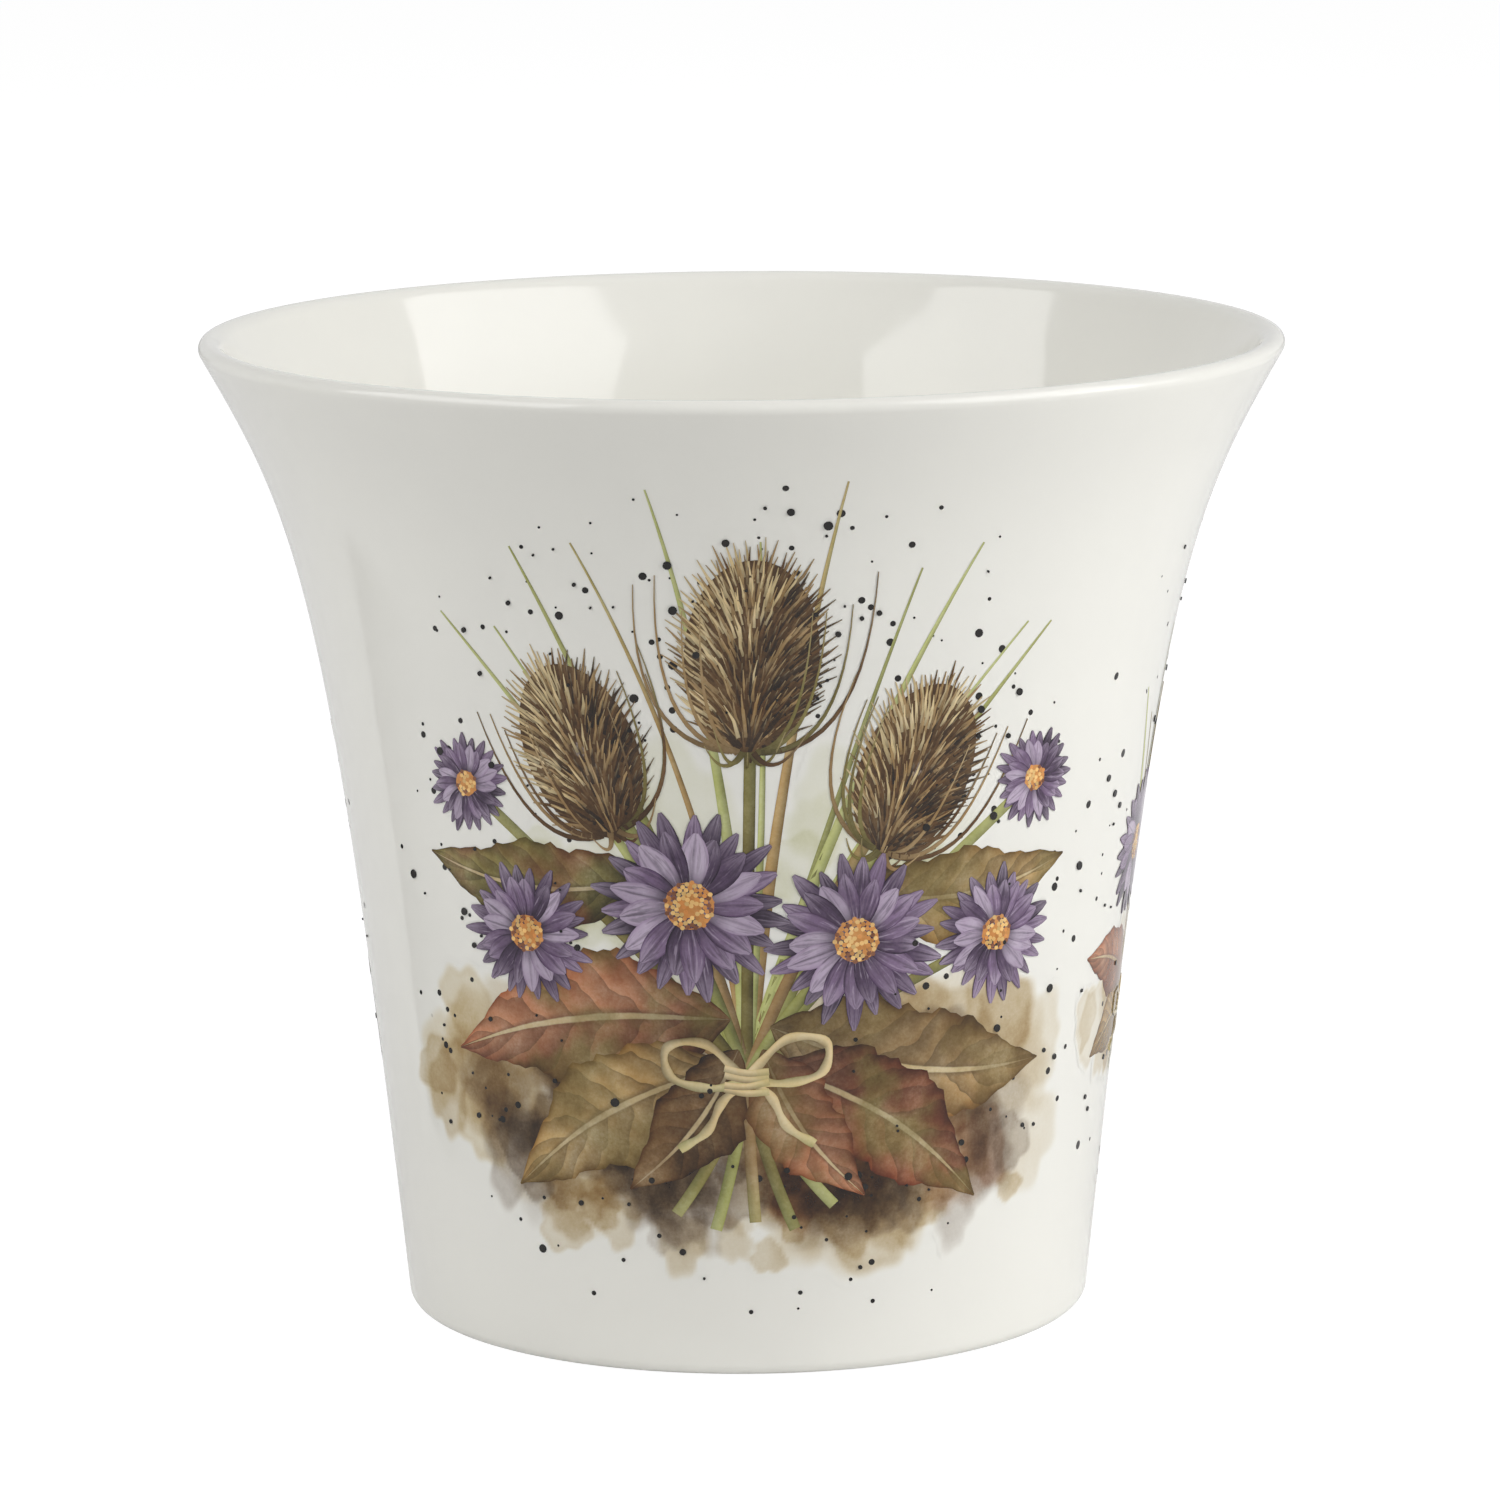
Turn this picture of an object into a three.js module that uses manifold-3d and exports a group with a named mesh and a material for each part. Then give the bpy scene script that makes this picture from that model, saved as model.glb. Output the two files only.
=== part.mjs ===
// Flared china plant pot with printed transfers fired on its outside.
// Units are millimetres. +Z is up, the origin is the middle of the foot ring's resting face,
// the front of the pot faces -Y and its right side, seen from the front, faces +X.
import * as THREE from "three";
import Module from "manifold-3d";

// Driving dimensions of the china body
const RIM_DIAMETER = 140;
const POT_HEIGHT = 127.3;
const FOOT_DIAMETER = 89.2;
const WALL_THICKNESS = 3;
const LIP_EDGE_RADIUS = 1.2;
const FLOOR_THICKNESS = 4;
const FLOOR_CORNER_RADIUS = 9;
const FOOT_EDGE_RADIUS = 1.8;
const FOOT_RING_WIDTH = 4.6;
const FOOT_RING_HEIGHT = 2.4;
const RECESS_CORNER_RADIUS = 1.4;

// Sweep of the wall: its lean from upright at each end, in degrees, and how far along
// the wall's chord each end's direction carries
const TAPER_ANGLE = 5.7;
const TAPER_REACH = 0.756;
const FLARE_ANGLE = 29.2;
const FLARE_REACH = 0.188;

// Driving dimensions of the printed transfers, measured on the wall's outer face
const TRANSFER_THICKNESS = 0.15;
const TRANSFER_GAP = 0.3;
const SPRAY_FOOT_MARGIN = 18;
const SPRAY_RIM_MARGIN = 10;
const SPRIG_FOOT_MARGIN = 30;
const SPRIG_RIM_MARGIN = 38;
const STEM_WIDTH = 1.5;
const BLADE_WIDTH = 2.2;
const BLADE_TIP_WIDTH = 0.7;

// Where each transfer sits, as degrees round the pot from the front towards the right
const FRONT_ANGLE = 0;
const RIGHT_ANGLE = 84;
const BACK_ANGLE = 168;
const LEFT_ANGLE = 252;

// Fineness of the facets
const ROUND_STEPS = 60;
const WALL_STEPS = 20;
const ARC_STEPS = 3;
const LIP_STEPS = 4;
const LEAF_STEPS = 5;
const BLADE_STEPS = 3;
const PITCH_ROUND_WALL = 7;
const PITCH_UP_WALL = 12;
// How far a point of a motif's outline may lie off its neighbours' line and still be dropped
const OUTLINE_SLACK = 0.03;
// How often a search for a place on the wall is halved
const SEARCH_STEPS = 40;

// Each motif is drawn flat, in millimetres, from the middle of its lowest edge.
// Stems and grass blades leave the tie. Heads are teasel seed heads, and daisies are asters.
const spray = {
  tie: [0, 20],
  cutStems: [[-9, 2], [-4, 0], [1, 1], [6, 0], [11, 3]],
  heads: [
    { at: [1, 76], width: 20, length: 31, lean: 3 },
    { at: [-21, 63], width: 18, length: 28, lean: -22 },
    { at: [22, 60], width: 18, length: 28, lean: 24 },
  ],
  daisies: [
    { at: [-7, 43], across: 26 },
    { at: [14, 38], across: 24 },
    { at: [-29, 38], across: 20 },
    { at: [34, 37], across: 19 },
    { at: [-38, 57], across: 14 },
    { at: [40, 57], across: 14 },
  ],
  leaves: [
    { from: [-2, 28], to: [-41, 21], width: 17 },
    { from: [3, 27], to: [42, 19], width: 17 },
    { from: [-2, 22], to: [-31, 4], width: 15 },
    { from: [3, 22], to: [31, 2], width: 15 },
    { from: [-1, 24], to: [-15, 5], width: 11 },
    { from: [2, 24], to: [15, 4], width: 11 },
    { from: [-12, 46], to: [-45, 47], width: 12 },
    { from: [14, 44], to: [46, 46], width: 12 },
  ],
  bladeTips: [[-41, 80], [-30, 90], [-12, 99], [13, 100], [31, 90], [42, 78]],
};
const sprig = {
  tie: [0, 8],
  cutStems: [[-3, 0], [2, 1]],
  heads: [{ at: [8, 41], width: 12, length: 19, lean: 14 }],
  daisies: [
    { at: [-5, 31], across: 20 },
    { at: [9, 23], across: 14 },
  ],
  leaves: [
    { from: [-1, 12], to: [-20, 18], width: 9 },
    { from: [1, 11], to: [20, 13], width: 9 },
    { from: [0, 9], to: [-15, 4], width: 8 },
  ],
  bladeTips: [[-13, 53], [-3, 60], [16, 56]],
};
// How far a head's spines and a daisy's petals are notched, and how many there are round the edge
const SPINE_NOTCH = 0.86;
const SPINE_COUNT = 12;
const PETAL_NOTCH = 0.74;
const PETAL_COUNT = 11;
// Where a leaf is widest along its length, and how far a blade's or stem's bend is drawn back
// towards its start for its reach sideways
const LEAF_WIDEST = 0.42;
const STEM_BOW = 0.2;

const china = new THREE.MeshStandardMaterial({ color: 0xf2f1ec, roughness: 0.12, metalness: 0 });
const sprayInk = new THREE.MeshStandardMaterial({ color: 0x7a5f4a, roughness: 0.14, metalness: 0 });
const sprigInk = new THREE.MeshStandardMaterial({ color: 0x6f5c86, roughness: 0.14, metalness: 0 });

const radians = THREE.MathUtils.degToRad;

// Unit vector along the wall, upwards, where it leans outwards by an angle from upright.
function wallDirection(lean) {
  return new THREE.Vector2(Math.sin(lean), Math.cos(lean));
}

// Points on a circle from one angle to another, counted from outwards towards up.
function arcPoints(centre, radius, from, to, steps) {
  const points = [];
  for (let i = 0; i <= steps; i++) {
    const angle = from + ((to - from) * i) / steps;
    const arm = new THREE.Vector2(Math.cos(angle), Math.sin(angle));
    points.push(centre.clone().addScaledVector(arm, radius));
  }
  return points;
}

// The lip turns tightly round its outer edge, up to its highest point, and more gently inside.
const lipCentre = new THREE.Vector2(RIM_DIAMETER / 2 - LIP_EDGE_RADIUS, POT_HEIGHT - LIP_EDGE_RADIUS);
const taper = radians(TAPER_ANGLE);
const flare = radians(FLARE_ANGLE);
const footEdgeCentre = new THREE.Vector2(FOOT_DIAMETER / 2 - FOOT_EDGE_RADIUS, FOOT_EDGE_RADIUS);

// The wall's outer face in section: one sweep from the foot's rounded edge to the lip.
function outerFace() {
  const start = arcPoints(footEdgeCentre, FOOT_EDGE_RADIUS, -taper, -taper, 1)[0];
  const end = arcPoints(lipCentre, LIP_EDGE_RADIUS, -flare, -flare, 1)[0];
  const chord = start.distanceTo(end);
  const leavingFoot = start.clone().addScaledVector(wallDirection(taper), chord * TAPER_REACH);
  const reachingRim = end.clone().addScaledVector(wallDirection(flare), -chord * FLARE_REACH);
  return new THREE.CubicBezierCurve(start, leavingFoot, reachingRim, end);
}

const wall = outerFace();
const wallLength = wall.getLength();

// A point at a distance out from the wall's outer face, at a share of the wall's length from the foot.
function besideWall(share, out) {
  const along = wall.getTangentAt(share);
  const outwards = new THREE.Vector2(along.y, -along.x);
  return wall.getPointAt(share).addScaledVector(outwards, out);
}

// The share of the wall at which a line beside it reaches a height.
function shareAtHeight(height, out) {
  let low = 0;
  let high = 1;
  for (let i = 0; i < SEARCH_STEPS; i++) {
    const middle = (low + high) / 2;
    if (besideWall(middle, out).y < height) low = middle;
    else high = middle;
  }
  return (low + high) / 2;
}

// The lean of the wall from upright at a share of its length.
function leanAt(share) {
  const along = wall.getTangentAt(share);
  return Math.atan2(along.x, along.y);
}

// The lip's inner rounding: the share of the wall at which it meets the inner face, and its radius.
function lipInside() {
  let low = 0;
  let high = 1;
  let radius = 0;
  for (let i = 0; i < SEARCH_STEPS; i++) {
    const share = (low + high) / 2;
    const lean = leanAt(share);
    const meeting = besideWall(share, -WALL_THICKNESS);
    radius = (lipCentre.x - meeting.x) / Math.cos(lean);
    if (meeting.y + radius * (1 - Math.sin(lean)) < POT_HEIGHT) low = share;
    else high = share;
  }
  return { share: low, radius };
}

// Half of the pot's section, from the axis under the floor, round the wall, to the axis inside.
function potSection() {
  const floorTop = FOOT_RING_HEIGHT + FLOOR_THICKNESS;
  const ringInside = FOOT_DIAMETER / 2 - FOOT_RING_WIDTH;
  const recessCentre = new THREE.Vector2(
    ringInside - RECESS_CORNER_RADIUS,
    FOOT_RING_HEIGHT - RECESS_CORNER_RADIUS,
  );
  const cornerOut = -(WALL_THICKNESS + FLOOR_CORNER_RADIUS);
  const cornerShare = shareAtHeight(floorTop + FLOOR_CORNER_RADIUS, cornerOut);
  const cornerCentre = besideWall(cornerShare, cornerOut);
  const cornerStart = -leanAt(cornerShare);
  const inside = lipInside();
  const insideCentre = new THREE.Vector2(lipCentre.x, POT_HEIGHT - inside.radius);
  const insideEnd = Math.PI - leanAt(inside.share);

  const section = [new THREE.Vector2(0, FOOT_RING_HEIGHT)];
  section.push(...arcPoints(recessCentre, RECESS_CORNER_RADIUS, Math.PI / 2, 0, ARC_STEPS));
  section.push(new THREE.Vector2(ringInside, 0));
  section.push(...arcPoints(footEdgeCentre, FOOT_EDGE_RADIUS, -Math.PI / 2, -taper, ARC_STEPS));
  for (let i = 1; i < WALL_STEPS; i++) section.push(besideWall(i / WALL_STEPS, 0));
  section.push(...arcPoints(lipCentre, LIP_EDGE_RADIUS, -flare, Math.PI / 2, LIP_STEPS));
  section.push(...arcPoints(insideCentre, inside.radius, Math.PI / 2, insideEnd, ARC_STEPS).slice(1));
  for (let i = WALL_STEPS - 1; i / WALL_STEPS > cornerShare; i--) {
    section.push(besideWall(i / WALL_STEPS, -WALL_THICKNESS));
  }
  section.push(...arcPoints(cornerCentre, FLOOR_CORNER_RADIUS, cornerStart, -Math.PI / 2, ARC_STEPS));
  section.push(new THREE.Vector2(0, floorTop));
  return section;
}

function potBody() {
  const geometry = new THREE.LatheGeometry(potSection(), ROUND_STEPS);
  geometry.rotateX(Math.PI / 2);
  const body = new THREE.Mesh(geometry, china);
  body.name = "pot_body";
  return body;
}

const wasm = await Module();
wasm.setup();

// The faces of a closed solid as a geometry.
function geometryFrom(solid) {
  const { vertProperties, triVerts } = solid.getMesh();
  const geometry = new THREE.BufferGeometry();
  geometry.setAttribute("position", new THREE.BufferAttribute(vertProperties, 3));
  geometry.setIndex(new THREE.BufferAttribute(triVerts, 1));
  return geometry;
}

// The flat area inside an outline.
function area(outline) {
  return new wasm.CrossSection([outline.map(({ x, y }) => [x, y])], "NonZero");
}

// A strip along a curve, tapering from one width to another.
function strip(curve, startWidth, endWidth) {
  const left = [];
  const right = [];
  for (let i = 0; i <= BLADE_STEPS; i++) {
    const share = i / BLADE_STEPS;
    const middle = curve.getPoint(share);
    const along = curve.getTangent(share);
    const sideways = new THREE.Vector2(-along.y, along.x);
    const half = THREE.MathUtils.lerp(startWidth, endWidth, share) / 2;
    left.push(middle.clone().addScaledVector(sideways, half));
    right.unshift(middle.clone().addScaledVector(sideways, -half));
  }
  return area([...left, ...right]);
}

// The line of a grass blade or stem from one point to another, steeper at its start.
function bowedCurve(from, to) {
  const start = new THREE.Vector2(...from);
  const end = new THREE.Vector2(...to);
  const bend = start.clone().lerp(end, 0.5);
  bend.x -= (end.x - start.x) * STEM_BOW;
  return new THREE.QuadraticBezierCurve(start, bend, end);
}

// A pointed oval leaf: half a sine wave each side of its midrib, drawn towards its widest place.
function leaf({ from, to, width }) {
  const start = new THREE.Vector2(...from);
  const end = new THREE.Vector2(...to);
  const rise = end.clone().sub(start).normalize();
  const sideways = new THREE.Vector2(-rise.y, rise.x);
  const skew = Math.log(0.5) / Math.log(LEAF_WIDEST);
  const left = [];
  const right = [];
  for (let i = 1; i < LEAF_STEPS; i++) {
    const share = i / LEAF_STEPS;
    const middle = start.clone().lerp(end, share);
    const half = (width / 2) * Math.sin(Math.PI * share ** skew);
    left.push(middle.clone().addScaledVector(sideways, half));
    right.unshift(middle.clone().addScaledVector(sideways, -half));
  }
  return area([start, ...left, end, ...right]);
}

// A toothed oval: the outline of a spiny head or of a ring of petals.
function toothedOval([x, y], width, length, lean, teeth, notch) {
  const outline = [];
  const turn = -radians(lean);
  for (let i = 0; i < 2 * teeth; i++) {
    const angle = (Math.PI * i) / teeth;
    const reach = i % 2 ? notch : 1;
    const point = new THREE.Vector2((width / 2) * Math.cos(angle), (length / 2) * Math.sin(angle));
    point.multiplyScalar(reach).rotateAround(new THREE.Vector2(), turn);
    outline.push(point.add(new THREE.Vector2(x, y)));
  }
  return area(outline);
}

// A motif enlarged or reduced so that its highest blade reaches a height.
function sizedMotif({ tie, cutStems, heads, daisies, leaves, bladeTips }, height) {
  const scale = height / Math.max(...bladeTips.map(([, y]) => y));
  const point = ([x, y]) => [x * scale, y * scale];
  return {
    tie: point(tie),
    cutStems: cutStems.map(point),
    heads: heads.map(({ at, width, length, lean }) => (
      { at: point(at), width: width * scale, length: length * scale, lean }
    )),
    daisies: daisies.map(({ at, across }) => ({ at: point(at), across: across * scale })),
    leaves: leaves.map(({ from, to, width }) => (
      { from: point(from), to: point(to), width: width * scale }
    )),
    bladeTips: bladeTips.map(point),
  };
}

// Everything in one motif, joined into one flat plate of the transfer's thickness.
function flatMotif({ tie, cutStems, heads, daisies, leaves, bladeTips }) {
  const areas = [
    ...cutStems.map((end) => strip(bowedCurve(tie, end), STEM_WIDTH, STEM_WIDTH)),
    ...[...heads, ...daisies].map(({ at }) => strip(bowedCurve(tie, at), STEM_WIDTH, STEM_WIDTH)),
    ...bladeTips.map((tip) => strip(bowedCurve(tie, tip), BLADE_WIDTH, BLADE_TIP_WIDTH)),
    ...leaves.map(leaf),
    ...heads.map(({ at, width, length, lean }) => (
      toothedOval(at, width, length, lean, SPINE_COUNT, SPINE_NOTCH)
    )),
    ...daisies.map(({ at, across }) => toothedOval(at, across, across, 0, PETAL_COUNT, PETAL_NOTCH)),
  ];
  return wasm.CrossSection.union(areas).simplify(OUTLINE_SLACK).extrude(TRANSFER_THICKNESS);
}

// One transfer: a flat motif sized to the wall between its margins and wrapped round the wall.
function transfer(name, ink, motif, centreAngle, footMargin, rimMargin) {
  const drawn = flatMotif(sizedMotif(motif, wallLength - footMargin - rimMargin));
  const squash = PITCH_ROUND_WALL / PITCH_UP_WALL;
  const split = drawn.scale([1, squash, 1]).refineToLength(PITCH_ROUND_WALL).scale([1, 1 / squash, 1]);
  const wrapped = split.warp((point) => {
    const share = (footMargin + point[1]) / wallLength;
    const place = besideWall(share, TRANSFER_GAP + point[2]);
    const angle = radians(centreAngle) + point[0] / wall.getPointAt(share).x;
    point[0] = place.x * Math.sin(angle);
    point[1] = -place.x * Math.cos(angle);
    point[2] = place.y;
  });
  const geometry = geometryFrom(wrapped);
  geometry.computeVertexNormals();
  const film = new THREE.Mesh(geometry, ink);
  film.name = name;
  return film;
}

const pot = new THREE.Group();
pot.add(potBody());
for (const [name, angle] of [
  ["front_spray_transfer", FRONT_ANGLE],
  ["back_spray_transfer", BACK_ANGLE],
]) {
  pot.add(transfer(name, sprayInk, spray, angle, SPRAY_FOOT_MARGIN, SPRAY_RIM_MARGIN));
}
for (const [name, angle] of [
  ["right_sprig_transfer", RIGHT_ANGLE],
  ["left_sprig_transfer", LEFT_ANGLE],
]) {
  pot.add(transfer(name, sprigInk, sprig, angle, SPRIG_FOOT_MARGIN, SPRIG_RIM_MARGIN));
}

export default pot;
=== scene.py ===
import bisect
import math
import random

import bpy
import numpy
from mathutils import Matrix, Vector


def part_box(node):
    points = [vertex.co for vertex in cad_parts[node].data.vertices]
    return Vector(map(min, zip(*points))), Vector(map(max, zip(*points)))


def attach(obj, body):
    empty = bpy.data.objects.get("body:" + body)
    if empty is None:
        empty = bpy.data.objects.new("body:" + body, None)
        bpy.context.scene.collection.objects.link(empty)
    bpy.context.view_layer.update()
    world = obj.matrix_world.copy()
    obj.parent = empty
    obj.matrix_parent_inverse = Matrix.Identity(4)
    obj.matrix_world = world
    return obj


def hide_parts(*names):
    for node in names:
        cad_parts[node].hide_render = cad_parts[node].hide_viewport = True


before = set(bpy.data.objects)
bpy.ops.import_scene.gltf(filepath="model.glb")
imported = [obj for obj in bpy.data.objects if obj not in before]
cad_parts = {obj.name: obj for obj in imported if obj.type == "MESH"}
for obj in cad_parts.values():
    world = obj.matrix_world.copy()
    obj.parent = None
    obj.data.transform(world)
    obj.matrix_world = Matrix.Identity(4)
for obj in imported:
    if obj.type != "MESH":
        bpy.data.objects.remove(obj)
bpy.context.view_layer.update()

MM = 0.001

# Sizes of the china body: rim and height come from the frame, the rest repeats the solid's
rim_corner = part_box("pot_body")[1]
RIM_RADIUS = rim_corner.x
POT_HEIGHT = rim_corner.z
FOOT_RADIUS = 44.6 * MM
WALL_THICKNESS = 3 * MM
LIP_EDGE_RADIUS = 1.2 * MM
FLOOR_TOP = 6.4 * MM
FLOOR_CORNER_RADIUS = 9 * MM
FOOT_EDGE_RADIUS = 1.8 * MM
FOOT_RING_WIDTH = 4.6 * MM
FOOT_RING_HEIGHT = 2.4 * MM
RECESS_CORNER_RADIUS = 1.4 * MM
TAPER_LEAN = math.radians(5.7)
TAPER_REACH = 0.756
FLARE_LEAN = math.radians(29.2)
FLARE_REACH = 0.188

# Fineness of the china's mesh
ROUND_STEPS = 360
WALL_STEPS = 90
ARC_STEPS = 10
LIP_STEPS = 12
FLOOR_RINGS = 6
WALL_SAMPLES = 600
SEARCH_STEPS = 40
ON_AXIS = 1e-9
RESTING_BAND = 0.2 * MM

# The printed transfers: how high each layer of paint stands off the wall
PRINT_BASE = 0.02 * MM
PAINT_LAYER = 0.006 * MM


# Shape of the wall

def direction(lean):
    """Up, leaning to the right by an angle."""
    return Vector((math.sin(lean), math.cos(lean)))


def right_of(way):
    return Vector((way.y, -way.x))


def arc(centre, radius, start, end, steps):
    """Points on a circle, with angles counted from outwards towards up."""
    angles = [start + (end - start) * i / steps for i in range(steps + 1)]
    return [centre + radius * Vector((math.cos(a), math.sin(a))) for a in angles]


lip_centre = Vector((RIM_RADIUS - LIP_EDGE_RADIUS, POT_HEIGHT - LIP_EDGE_RADIUS))
foot_edge_centre = Vector((FOOT_RADIUS - FOOT_EDGE_RADIUS, FOOT_EDGE_RADIUS))


def outer_face():
    """The four control points of the wall's outer face in section, from foot to lip."""
    start = arc(foot_edge_centre, FOOT_EDGE_RADIUS, -TAPER_LEAN, -TAPER_LEAN, 1)[0]
    end = arc(lip_centre, LIP_EDGE_RADIUS, -FLARE_LEAN, -FLARE_LEAN, 1)[0]
    chord = (end - start).length
    leaving_foot = start + direction(TAPER_LEAN) * chord * TAPER_REACH
    reaching_rim = end - direction(FLARE_LEAN) * chord * FLARE_REACH
    return start, leaving_foot, reaching_rim, end


wall_controls = outer_face()


def wall_curve(t):
    """Point and unit direction on the wall's outer face at a curve parameter."""
    a, b, c, d = wall_controls
    s = 1 - t
    point = a * s ** 3 + b * 3 * s * s * t + c * 3 * s * t * t + d * t ** 3
    along = (b - a) * s * s + (c - b) * 2 * s * t + (d - c) * t * t
    return point, along.normalized()


def measure_wall():
    """Length up the wall at each of a row of curve parameters."""
    lengths = [0.0]
    before = wall_curve(0)[0]
    for i in range(1, WALL_SAMPLES + 1):
        point = wall_curve(i / WALL_SAMPLES)[0]
        lengths.append(lengths[-1] + (point - before).length)
        before = point
    return lengths


wall_lengths = measure_wall()
WALL_LENGTH = wall_lengths[-1]


def wall_at(length):
    """Point and direction on the wall's outer face at a length up from the foot."""
    i = min(max(bisect.bisect(wall_lengths, length), 1), WALL_SAMPLES)
    step = wall_lengths[i] - wall_lengths[i - 1]
    return wall_curve((i - 1 + (length - wall_lengths[i - 1]) / step) / WALL_SAMPLES)


def beside_wall(length, out):
    point, along = wall_at(length)
    return point + right_of(along) * out


def on_wall(x, length, out, centre_angle):
    """Place and outward normal at a distance round from a centre line and a length up the wall."""
    point, along = wall_at(length)
    angle = centre_angle + x / point.x
    radius = point.x + along.y * out
    place = Vector((radius * math.sin(angle), -radius * math.cos(angle), point.y - along.x * out))
    normal = Vector((along.y * math.sin(angle), -along.y * math.cos(angle), -along.x))
    return place, normal


# Meshes

def in_scene(name, data):
    """A new object in the scene."""
    made = bpy.data.objects.new(name, data)
    bpy.context.scene.collection.objects.link(made)
    return made


def show(name, mesh, *materials):
    """A mesh as a named piece of the part."""
    for material in materials:
        mesh.materials.append(material)
    piece = in_scene(name, mesh)
    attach(piece, "root")
    return piece


def wall_lean(length):
    along = wall_at(length)[1]
    return math.atan2(along.x, along.y)


def length_where(holds):
    """The length up the wall at which a test stops being true."""
    low, high = 0.0, WALL_LENGTH
    for _ in range(SEARCH_STEPS):
        middle = (low + high) / 2
        if holds(middle):
            low = middle
        else:
            high = middle
    return low


def lip_inside(length):
    """Top and radius of the lip's inner rounding, if it starts at a length up the wall."""
    along = wall_at(length)[1]
    start = beside_wall(length, -WALL_THICKNESS)
    radius = (lip_centre.x - start.x) / along.y
    return start.y + (1 - along.x) * radius, radius


def flat_rings(radius, height):
    return [Vector((radius * i / FLOOR_RINGS, height)) for i in range(FLOOR_RINGS)]


def pot_section():
    """Half of the pot's section, from the axis under the floor round the lip to the axis inside."""
    quarter_turn = math.pi / 2
    ring_inside = FOOT_RADIUS - FOOT_RING_WIDTH
    recess_centre = Vector((ring_inside - RECESS_CORNER_RADIUS, FOOT_RING_HEIGHT - RECESS_CORNER_RADIUS))
    corner_out = -(WALL_THICKNESS + FLOOR_CORNER_RADIUS)
    corner_height = FLOOR_TOP + FLOOR_CORNER_RADIUS
    corner_length = length_where(lambda n: beside_wall(n, corner_out).y < corner_height)
    corner_centre = beside_wall(corner_length, corner_out)
    lip_length = length_where(lambda n: lip_inside(n)[0] < POT_HEIGHT)
    lip_radius = lip_inside(lip_length)[1]
    inside_centre = Vector((lip_centre.x, POT_HEIGHT - lip_radius))
    wall = [WALL_LENGTH * i / WALL_STEPS for i in range(1, WALL_STEPS)]
    inside = [n for n in reversed(wall) if corner_length < n < lip_length]
    section = flat_rings(recess_centre.x, FOOT_RING_HEIGHT)
    section += arc(recess_centre, RECESS_CORNER_RADIUS, quarter_turn, 0, ARC_STEPS)
    section += [Vector((ring_inside, 0))]
    section += arc(foot_edge_centre, FOOT_EDGE_RADIUS, -quarter_turn, -TAPER_LEAN, ARC_STEPS)
    section += [beside_wall(n, 0) for n in wall]
    section += arc(lip_centre, LIP_EDGE_RADIUS, -FLARE_LEAN, quarter_turn, LIP_STEPS)
    section += arc(inside_centre, lip_radius, quarter_turn, math.pi - wall_lean(lip_length), LIP_STEPS)[1:]
    section += [beside_wall(n, -WALL_THICKNESS) for n in inside]
    section += arc(corner_centre, FLOOR_CORNER_RADIUS, -wall_lean(corner_length), -quarter_turn, ARC_STEPS)
    section += reversed(flat_rings(corner_centre.x, FLOOR_TOP))
    return section


def pot_mesh():
    """The section turned about the axis, with the foot ring's resting face left unglazed."""
    section = pot_section()
    places = []
    rings = []
    for point in section:
        first = len(places)
        if point.x < ON_AXIS:
            places.append((0, 0, point.y))
            rings.append([first] * ROUND_STEPS)
            continue
        for k in range(ROUND_STEPS):
            angle = math.tau * k / ROUND_STEPS
            places.append((point.x * math.cos(angle), point.x * math.sin(angle), point.y))
        rings.append(list(range(first, first + ROUND_STEPS)))
    faces = []
    bare = []
    for i, (lower, upper) in enumerate(zip(rings, rings[1:])):
        rests = max(section[i].y, section[i + 1].y) < RESTING_BAND
        for k in range(ROUND_STEPS):
            n = (k + 1) % ROUND_STEPS
            corners = dict.fromkeys((lower[k], lower[n], upper[n], upper[k]))
            faces.append(tuple(corners))
            bare.append(int(rests))
    mesh = bpy.data.meshes.new("pot_body_china")
    mesh.from_pydata(places, [], faces)
    mesh.polygons.foreach_set("use_smooth", [True] * len(faces))
    mesh.polygons.foreach_set("material_index", bare)
    return mesh


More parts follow.
